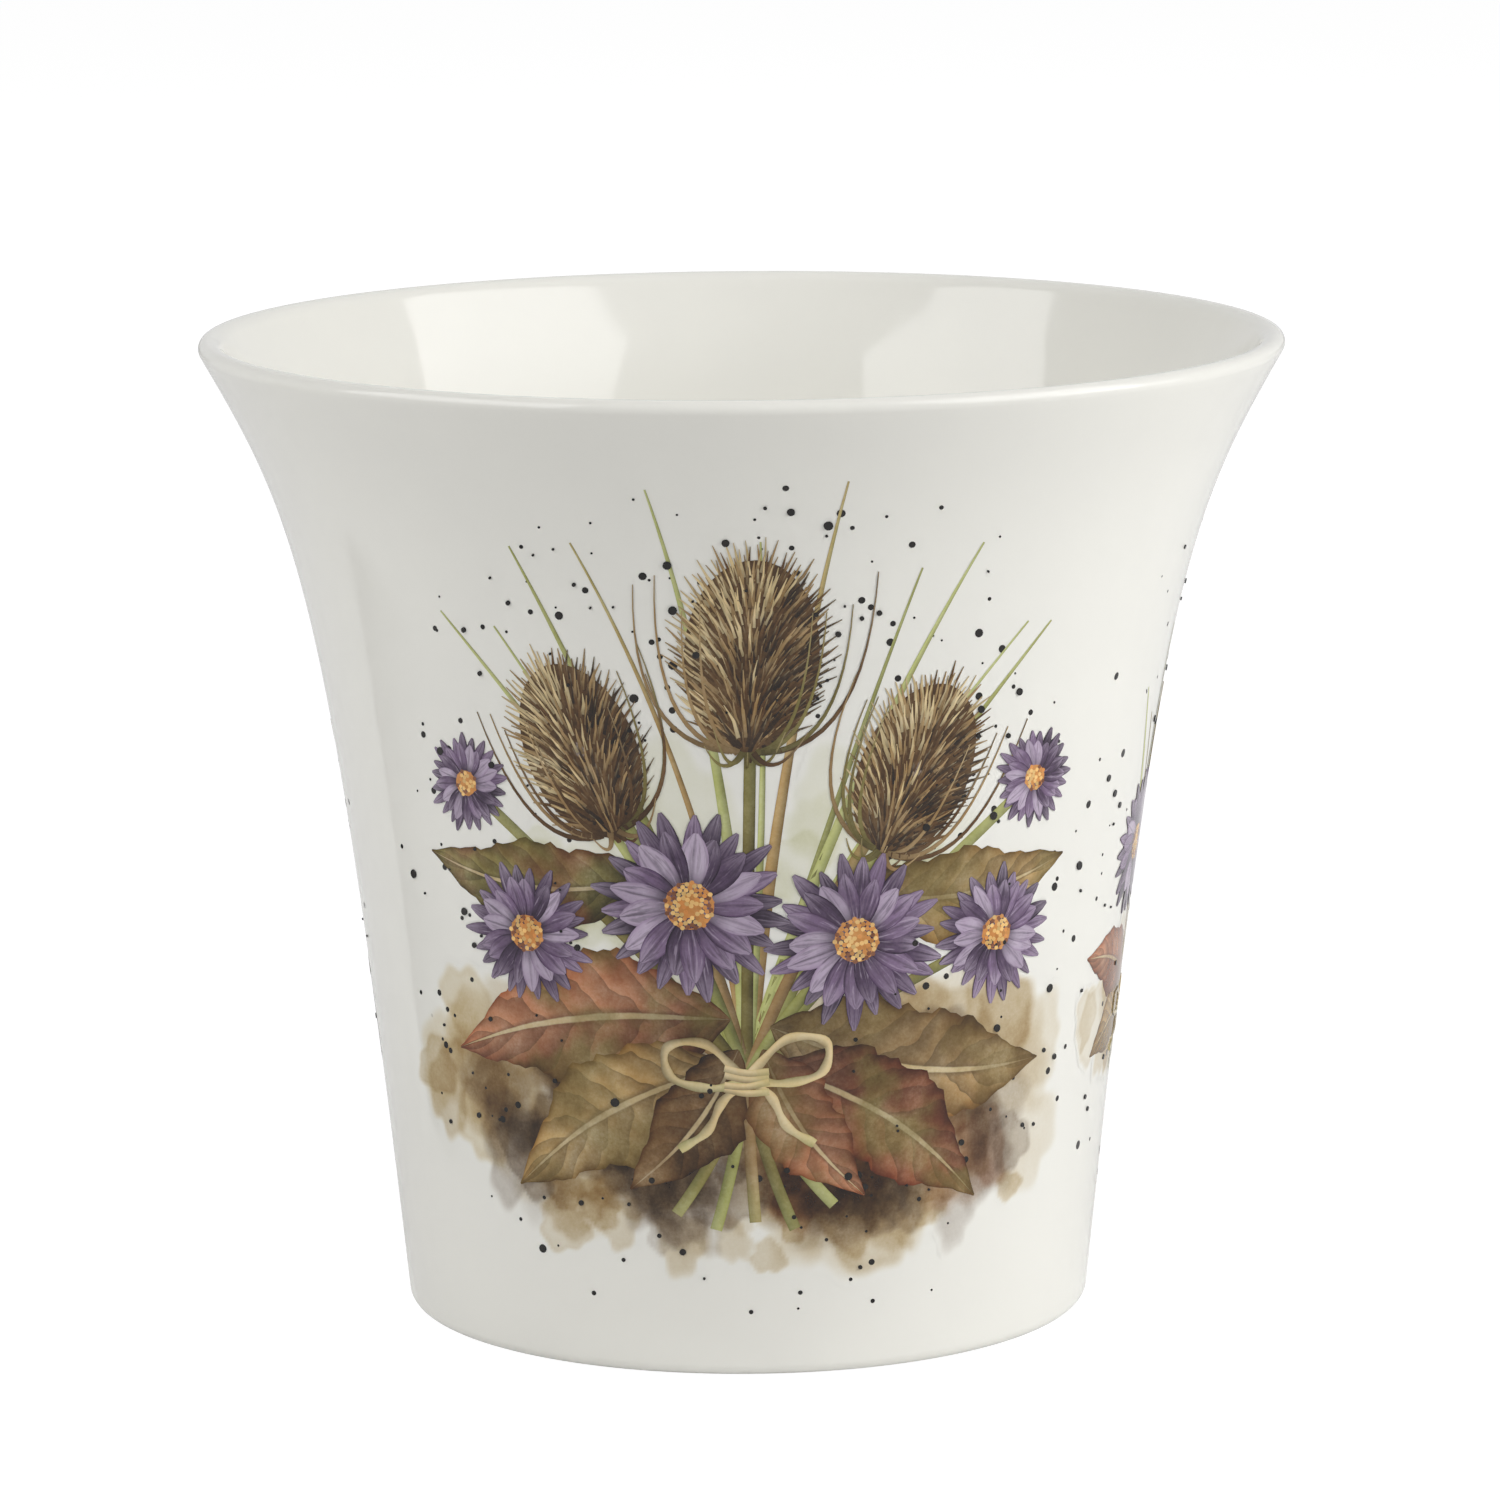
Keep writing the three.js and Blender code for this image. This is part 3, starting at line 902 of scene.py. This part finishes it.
def china_body_group():
    """Warm white china with faint clouding and a rare dark pinhole."""
    nodes, _, made = group("china_body", [], ["Color"])
    place = nodes.place()
    cloud = nodes.between(nodes.noise(place, scale=45, detail=3), 0.3, 0.7)
    clouded = nodes.mix(cloud, WHITE_CHINA, CLOUDED_CHINA)
    spots = nodes.add("TexVoronoi", {"Vector": place, "Scale": 60}).outputs["Distance"]
    pinhole = nodes.between(spots, 0.012, 0.02, 0.35, 0.0)
    nodes.put(made["Color"], nodes.mix(pinhole, clouded, PINHOLE))
    return nodes.tree


def glaze_group():
    """The glaze over everything: gentle ripple, and gloss that varies a little."""
    nodes, _, made = group("glaze", [], ["Roughness", "Height"])
    place = nodes.place()
    ripple = nodes.noise(place, scale=55)
    peel = nodes.noise(place, scale=420, detail=1)
    patches = nodes.noise(place, scale=130, detail=3)
    nodes.put(made["Height"], nodes.math("MULTIPLY_ADD", peel, 0.06, ripple))
    nodes.put(made["Roughness"], nodes.between(patches, 0.3, 0.7, *GLAZE_ROUGHNESS))
    return nodes.tree


def watercolour_group():
    """Clear paint over white: it drifts to a second colour, and lies thinner or thicker in places.

    Thicker paint is the colour laid over itself, so it is deeper, and thinner paint is clearer."""
    inputs = ["Color", "Second Color", "Drift", "Pooling", "Edge", "Edge Pooling", "Grain"]
    nodes, given, made = group("watercolour", inputs, ["Color"])
    place = nodes.place()
    patches = nodes.between(nodes.noise(place, scale=110, detail=3), 0.4, 0.62)
    drift = nodes.times(patches, given["Drift"])
    drifted = nodes.mix(drift, given["Color"], given["Second Color"])
    pool = nodes.math("SUBTRACT", nodes.noise(place, scale=170, detail=5, rough=0.6), 0.5)
    thick = nodes.math("MULTIPLY_ADD", pool, given["Pooling"], 1.0)
    rim = nodes.math("POWER", given["Edge"], 7.0)
    thick = nodes.math("MULTIPLY_ADD", rim, given["Edge Pooling"], thick)
    grain = nodes.math("SUBTRACT", nodes.noise(place, scale=2400, detail=3, rough=0.7), 0.5)
    thick = nodes.math("MULTIPLY_ADD", grain, given["Grain"], thick)
    laid = nodes.add("Gamma", {"Color": drifted, "Gamma": nodes.math("MAXIMUM", thick, 0.1)})
    nodes.put(made["Color"], laid.outputs[0])
    return nodes.tree


china_body = china_body_group()
glaze = glaze_group()
watercolour = watercolour_group()


class Surface(Nodes):
    """The nodes of a new material, whose colour is left to set."""

    def __init__(self, name):
        self.material = bpy.data.materials.new(name)
        self.material.use_nodes = True
        super().__init__(self.material.node_tree)
        self.shader = self.tree.nodes["Principled BSDF"].inputs

    def bumpy(self, height, roughness, bump):
        self.put(self.shader["Roughness"], roughness)
        made = self.add("Bump", {"Height": height, **bump})
        self.put(self.shader["Normal"], made.outputs["Normal"])

    def coloured(self, colour):
        self.put(self.shader["Base Color"], colour)
        return self.material


class Glazed(Surface):
    """The nodes of a new material under the glaze: bare, or with strokes of paint."""

    def __init__(self, name):
        super().__init__(name)
        coat = self.add("Group", node_tree=glaze).outputs
        self.bumpy(coat["Height"], coat["Roughness"], GLAZE_BUMP)
        self.put(self.shader["IOR"], GLAZE_IOR)

    def china(self):
        return self.add("Group", node_tree=china_body).outputs["Color"]

    def tint(self):
        """The tint of a stroke, and the random number beside it."""
        made = self.add("Attribute", attribute_name="tint").outputs
        return made["Color"], made["Alpha"]

    def stroke(self):
        """How far along and across its stroke a place lies, and how far from the midline."""
        brush = self.add("UVMap", uv_map="brush").outputs[0]
        along, across, _ = self.add("SeparateXYZ", {0: brush}).outputs
        return along, across, self.math("ABSOLUTE", self.math("MULTIPLY_ADD", across, 2.0, -1.0))

    def scaled(self, colour, amount):
        """A colour made lighter or darker by a number."""
        grey = self.add("CombineColor", {0: amount, 1: amount, 2: amount}).outputs[0]
        return self.mix(1.0, colour, grey, "MULTIPLY")

    def laid(self, colour, second, edge, pooling, grain, drift=0.0, edge_pooling=0.0):
        """A painted colour put through the watercolour group."""
        wet = self.add("Group", node_tree=watercolour)
        for socket, value in zip(wet.inputs, (colour, second, drift, pooling, edge, edge_pooling, grain)):
            self.put(socket, value)
        return wet.outputs["Color"]

    def painted(self, *colours, **amounts):
        return self.coloured(self.laid(*colours, **amounts))


def bare_china_material():
    """Fired china without glaze, ground flat and a little soiled."""
    nodes = Surface("bare_china")
    grit = nodes.noise(nodes.place(), scale=1500, detail=4, rough=0.7)
    nodes.bumpy(grit, nodes.between(grit, 0.3, 0.7, 0.65, 0.9), BARE_BUMP)
    return nodes.coloured(nodes.mix(nodes.between(grit, 0.35, 0.7), BARE_CHINA, SOILED_CHINA))


def leaf_material():
    """Side veins, a pale midrib, one half lighter than the other."""
    nodes = Glazed("leaf_paint")
    along, across, off_middle = nodes.stroke()
    tint, chance = nodes.tint()
    slant = nodes.math("MULTIPLY_ADD", off_middle, -1.7, nodes.times(along, 9.0))
    wander = nodes.noise(nodes.place(), scale=160)
    phase = nodes.math("FRACT", nodes.math("MULTIPLY_ADD", wander, 1.3, slant))
    fades = nodes.between(off_middle, 0.6, 1.0, 0.45, 0.0)
    vein = nodes.times(nodes.between(phase, 0.0, 0.18, 1.0, 0.0), fades)
    ridge = nodes.between(phase, 0.2, 0.95, 0.8, 1.18)
    half = nodes.between(across, 0.4, 0.6, 0.74, 1.12)
    body = nodes.scaled(nodes.scaled(tint, ridge), half)
    veined = nodes.mix(vein, body, nodes.scaled(tint, 0.38))
    groove = nodes.between(off_middle, 0.05, 0.17, 0.7, 0.0)
    grooved = nodes.mix(groove, veined, nodes.scaled(tint, 0.4))
    midrib = nodes.between(off_middle, 0.035, 0.065, 0.85, 0.0)
    ribbed = nodes.mix(midrib, grooved, STRAW)
    shaded = nodes.scaled(ribbed, nodes.between(along, 0.0, 0.45, 0.4, 1.0))
    second = nodes.mix(chance, RUSSET, OLIVE)
    edge = nodes.math("MAXIMUM", off_middle, nodes.between(along, 0.8, 1.0))
    return nodes.painted(shaded, second, edge, drift=0.7, pooling=1.6, edge_pooling=0.6, grain=0.5)


def petal_material():
    """Dark at the heart, streaked along, pale at the rim."""
    nodes = Glazed("petal_paint")
    along, across, off_middle = nodes.stroke()
    tint, chance = nodes.tint()
    inputs = {0: nodes.times(along, 2.5), 1: nodes.times(across, 9.0), 2: nodes.times(chance, 60.0)}
    streaks = nodes.noise(nodes.add("CombineXYZ", inputs).outputs[0], scale=1.0)
    body = nodes.mix(nodes.between(along, 0.05, 0.55), VIOLET, tint)
    tipped = nodes.mix(nodes.between(along, 0.55, 1.0, 0.0, 0.55), body, LILAC)
    streaked = nodes.mix(nodes.between(streaks, 0.5, 0.66, 0.0, 0.6), tipped, nodes.scaled(tint, 0.4))
    lit = nodes.mix(nodes.between(streaks, 0.28, 0.42, 0.55, 0.0), streaked, LILAC)
    creased = nodes.mix(nodes.between(off_middle, 0.0, 0.22, 0.45, 0.0), lit, VIOLET)
    return nodes.painted(creased, tint, off_middle, drift=0.3, pooling=0.9, edge_pooling=0.6, grain=0.3)


def spine_material():
    """Each spine dark where it sits and pale towards its point."""
    nodes = Glazed("spine_paint")
    along, _, off_middle = nodes.stroke()
    tint, _ = nodes.tint()
    rooted = nodes.mix(nodes.between(along, 0.0, 0.5), nodes.scaled(tint, 0.45), tint)
    pointed = nodes.mix(nodes.between(along, 0.6, 1.0, 0.0, 0.35), rooted, STRAW)
    return nodes.painted(pointed, tint, off_middle, drift=0.3, pooling=0.9, edge_pooling=0.2, grain=0.4)


def stalk_material():
    """Stems and blades: dark along one edge, yellower towards the tip."""
    nodes = Glazed("stalk_paint")
    along, across, off_middle = nodes.stroke()
    tint, _ = nodes.tint()
    shaded = nodes.scaled(tint, nodes.between(across, 0.25, 0.95, 1.15, 0.55))
    tipped = nodes.mix(nodes.between(along, 0.5, 1.0, 0.0, 0.4), shaded, LIME)
    return nodes.painted(tipped, tint, off_middle, drift=0.4, pooling=1.2, edge_pooling=0.3, grain=0.4)


def dab_material(name):
    """Small round dabs of one tint each."""
    nodes = Glazed(name)
    tint, _ = nodes.tint()
    return nodes.painted(tint, tint, edge=0.0, pooling=0.8, grain=0.4)


def wash_material():
    """Clear paint over the china, grained and pooled."""
    nodes = Glazed("wash_paint")
    tint, _ = nodes.tint()
    laid = nodes.laid(tint, tint, edge=0.0, pooling=1.2, grain=0.5)
    return nodes.coloured(nodes.mix(1.0, nodes.china(), laid, "MULTIPLY"))


stalk_paint = stalk_material()
speck_ink = dab_material("speck_ink")
PAINTS = {
    "wash": wash_material(),
    "grass": stalk_paint,
    "stems": stalk_paint,
    "leaves": leaf_material(),
    "heads": spine_material(),
    "petals": petal_material(),
    "florets": dab_material("floret_paint"),
    "tie": stalk_paint,
}


# The part

def make_pot():
    nodes = Glazed("glazed_china")
    pot = show("pot_body_china", pot_mesh(), nodes.coloured(nodes.china()), bare_china_material())
    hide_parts("pot_body")


def paint_motif(name, motif, centre, seed):
    """One transfer, a piece for each kind of paint."""
    rng = random.Random(seed)
    height = max(tip[1] for tip in motif["blade_tips"])
    scale = (WALL_LENGTH - sum(motif["margins"]) * MM) / height
    foot_margin = motif["margins"][0] * MM
    sheets = {kind: Print() for kind in PAINTS}
    draw_wash(sheets["wash"], motif, rng)
    draw_grass(sheets["grass"], motif, rng)
    draw_stems(sheets["stems"], motif, rng)
    for i, leaf in enumerate(motif["leaves"]):
        draw_leaf(sheets["leaves"], leaf, LEAF_LAYER + i / 2, rng)
    for head in motif["heads"]:
        draw_head(sheets["heads"], head, rng)
    for i, daisy in enumerate(motif["daisies"]):
        draw_daisy(sheets["petals"], sheets["florets"], daisy, DAISY_LAYER + DAISY_PITCH * i, rng)
    draw_tie(sheets["tie"], motif, rng)
    for kind, sheet in sheets.items():
        piece = sheet.lay(f"{name}_{kind}", math.radians(centre), foot_margin, scale, PAINTS[kind])
        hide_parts(f"{name}_transfer")


def flick_ink(name, motif, centre, seed):
    """Specks flicked about a transfer."""
    rng = random.Random(seed)
    sheet = Print()
    wide, high, middle, count = motif["shower"]
    while count > 0:
        turn = rng.uniform(0, math.tau)
        share = rng.uniform(*SPECK_SHARE)
        x = wide * share * math.cos(turn) + rng.gauss(0, SPECK_STRAY)
        y = middle + high * share * math.sin(turn) + rng.gauss(0, SPECK_STRAY)
        if SPECK_LOWEST < y < SPECK_HIGHEST:
            radius = SPECK_SMALLEST + SPECK_GROWTH * rng.random() ** 2
            tint = tinted(INK, rng, spread=0.3)
            sheet.disc(x, y, radius, tint, rng.choice(SPECK_LAYERS), sides=10)
            count -= 1
    piece = sheet.lay(f"{name}_specks", math.radians(centre), 0, MM, speck_ink)


make_pot()

# Each transfer with its slot, its place in degrees round the pot and its seed
for name, motif, slot, centre, seed in (
    ("front_spray", SPRAY, "spray_print", 0, 1),
    ("back_spray", SPRAY, "spray_print", 168, 2),
    ("right_sprig", SPRIG, "sprig_print", 84, 3),
    ("left_sprig", SPRIG, "sprig_print", 252, 4),
):
    paint_motif(name, motif, centre, seed)
    flick_ink(name, motif, centre, seed)


# The studio

FLOOR_SIZE = 8
FLOOR_LEVEL = -0.1 * MM
PAPER = (0.85, 0.85, 0.85)
PAPER_IN_SHADOW = (0.16, 0.16, 0.16)
PAPER_GLOW = 0.96
WHITE = (1, 1, 1)
FLOOR_IN_GLOSS = 0.3
SURROUND_IN_GLOSS = 0.75
AMBIENT = 0.1
LAMP_DISTANCE = 1.6

# In gloss the paper ends at a slanting left edge, and past it the room carries a painted shadow that only
# reflections show: a dim side with one crisp edge
STAND_LEFT = -100 * MM
STAND_SLANT = 0.55
SHADE_IN_GLOSS_AZIMUTH = math.radians(55.5)
SHADE_IN_GLOSS_EDGE = 0.006
SHADE_IN_GLOSS_REACH = 0.48
SHADE_IN_GLOSS_LOWER_END = (-0.475, -0.43)
SHADE_IN_GLOSS_UPPER_END = (-0.25, -0.2)
SHADE_IN_GLOSS_DEPTH = 0.82

# The camera, fitted to the outlines of rim and foot
CAMERA_PLACE = Vector((0, -945.1, 242.1)) * MM
CAMERA_PITCH = 0.1777
CAMERA_ROLL = 0.0071
SENSOR_WIDTH = 36
IMAGE_SIDE = 1500
FOCAL_PIXELS = 7364
AXIS_LEFT_PIXELS = 5.6


def seen_share(nodes, in_gloss):
    """1 for what is looked at directly or through glass, and a share for what is seen in gloss."""
    path = nodes.add("LightPath").outputs
    direct = nodes.math("MAXIMUM", path["Is Camera Ray"], path["Is Transmission Ray"])
    return nodes.math("MAXIMUM", direct, nodes.times(path["Is Glossy Ray"], in_gloss))


def make_floor():
    """White paper to look at, which still takes the pot's shadow.

    In gloss the shadow is deeper, and the paper ends at the left like a stand's top."""
    half = FLOOR_SIZE / 2
    mesh = bpy.data.meshes.new("studio_floor")
    corners = [(x, y, FLOOR_LEVEL) for x, y in ((-half, -half), (half, -half), (half, half), (-half, half))]
    mesh.from_pydata(corners, [], [(0, 1, 2, 3)])
    nodes = Surface("white_paper")
    nodes.tree.nodes.remove(nodes.tree.nodes["Principled BSDF"])
    paper = nodes.add("BsdfDiffuse", {"Color": PAPER}).outputs[0]
    shadowed = nodes.add("BsdfDiffuse", {"Color": PAPER_IN_SHADOW}).outputs[0]
    lit = nodes.add("Emission", {"Color": WHITE, "Strength": PAPER_GLOW}).outputs[0]
    shown = nodes.add("AddShader", {0: shadowed, 1: lit}).outputs[0]
    seen = seen_share(nodes, FLOOR_IN_GLOSS)
    both = nodes.add("MixShader", {0: seen, 1: paper, 2: shown}).outputs[0]
    place = nodes.add("SeparateXYZ", {0: nodes.place()}).outputs
    across = nodes.math("ADD", place["X"], nodes.times(place["Y"], STAND_SLANT))
    past_stand = nodes.math("LESS_THAN", across, STAND_LEFT)
    in_gloss = nodes.add("LightPath").outputs["Is Glossy Ray"]
    unseen = nodes.times(in_gloss, past_stand)
    clear = nodes.add("BsdfTransparent").outputs[0]
    surface = nodes.add("MixShader", {0: unseen, 1: both, 2: clear}).outputs[0]
    nodes.put(nodes.tree.nodes["Material Output"].inputs["Surface"], surface)
    mesh.materials.append(nodes.material)
    floor = in_scene("studio_floor", mesh)


def room_in_gloss(nodes):
    """How bright the room is in gloss in each direction, with a painted shadow: a dim sector that only
    reflections show.
    """
    way = nodes.add("TexCoord").outputs["Generated"]
    x, y, up = nodes.add("SeparateXYZ", {0: way}).outputs
    sine, cosine = math.sin(SHADE_IN_GLOSS_AZIMUTH), math.cos(SHADE_IN_GLOSS_AZIMUTH)
    past = nodes.math("SUBTRACT", nodes.times(x, -cosine), nodes.times(y, sine))
    ahead = nodes.math("SUBTRACT", nodes.times(y, cosine), nodes.times(x, sine))
    # Painted shadow for reflections only: a sector of the room past an azimuth and between two heights,
    # darkened by a share
    painted_shade = nodes.math("GREATER_THAN", ahead, 0)
    for share in (
        nodes.between(past, 0, SHADE_IN_GLOSS_EDGE),
        nodes.between(past, 0, SHADE_IN_GLOSS_REACH, 1, 0),
        nodes.between(up, *SHADE_IN_GLOSS_LOWER_END),
        nodes.between(up, *SHADE_IN_GLOSS_UPPER_END, 1, 0),
    ):
        painted_shade = nodes.times(painted_shade, share)
    bright = nodes.math("SUBTRACT", 1, nodes.times(painted_shade, SHADE_IN_GLOSS_DEPTH))
    return nodes.times(bright, SURROUND_IN_GLOSS)


def make_world():
    """White to look at, softer as light."""
    world = bpy.data.worlds.new("studio_surround")
    world.use_nodes = True
    bpy.context.scene.world = world
    nodes = Nodes(world.node_tree)
    # What gloss sees of the room includes the painted shadow on its dim side
    seen = seen_share(nodes, room_in_gloss(nodes))
    background = world.node_tree.nodes["Background"].inputs
    nodes.put(background["Color"], WHITE)
    nodes.put(background["Strength"], nodes.math("MAXIMUM", seen, AMBIENT))


def make_softbox(name, azimuth, elevation, width, height, power, in_gloss=True, in_light=True, upright=False):
    """A large soft lamp at an angle right of the camera and up, turned to the pot or standing upright."""
    lamp = bpy.data.lights.new(name, "AREA")
    lamp.shape = "RECTANGLE"
    lamp.size, lamp.size_y = width, height
    lamp.energy = power
    turn, tilt = math.radians(azimuth), math.radians(elevation)
    way = Vector((math.sin(turn) * math.cos(tilt), -math.cos(turn) * math.cos(tilt), math.sin(tilt)))
    facing = Vector((way.x, way.y, 0 if upright else way.z))
    holder = in_scene(name, lamp)
    holder.location = Vector((0, 0, POT_HEIGHT / 2)) + way * LAMP_DISTANCE
    holder.rotation_euler = (-facing).to_track_quat("-Z", "Y").to_euler()
    holder.visible_glossy = in_gloss
    holder.visible_diffuse = in_light


def make_camera():
    camera = bpy.data.cameras.new("camera")
    camera.sensor_width = SENSOR_WIDTH
    camera.lens = SENSOR_WIDTH * FOCAL_PIXELS / IMAGE_SIDE
    camera.shift_x = AXIS_LEFT_PIXELS / IMAGE_SIDE
    holder = in_scene("camera", camera)
    aim = Matrix.Rotation(math.pi / 2 - CAMERA_PITCH, 4, "X") @ Matrix.Rotation(-CAMERA_ROLL, 4, "Z")
    holder.matrix_world = Matrix.Translation(CAMERA_PLACE) @ aim
    bpy.context.scene.camera = holder


make_floor()
make_world()
make_softbox("right_softbox", azimuth=68, elevation=30, width=1.4, height=1.4, power=19.1)
make_softbox("left_softbox", azimuth=-63, elevation=38, width=1.4, height=1.2, power=14.3, in_gloss=False)
make_softbox("left_panel", azimuth=-63.6, elevation=31.6, width=1.41, height=1.4, power=16.6, in_light=False,
             upright=True)
make_softbox("side_softbox", azimuth=85, elevation=9, width=1.0, height=0.4, power=2.9)
make_softbox("back_softbox", azimuth=180, elevation=40, width=1.6, height=1.2, power=3, in_gloss=False)
make_camera()
bpy.context.scene.view_settings.view_transform = "Standard"
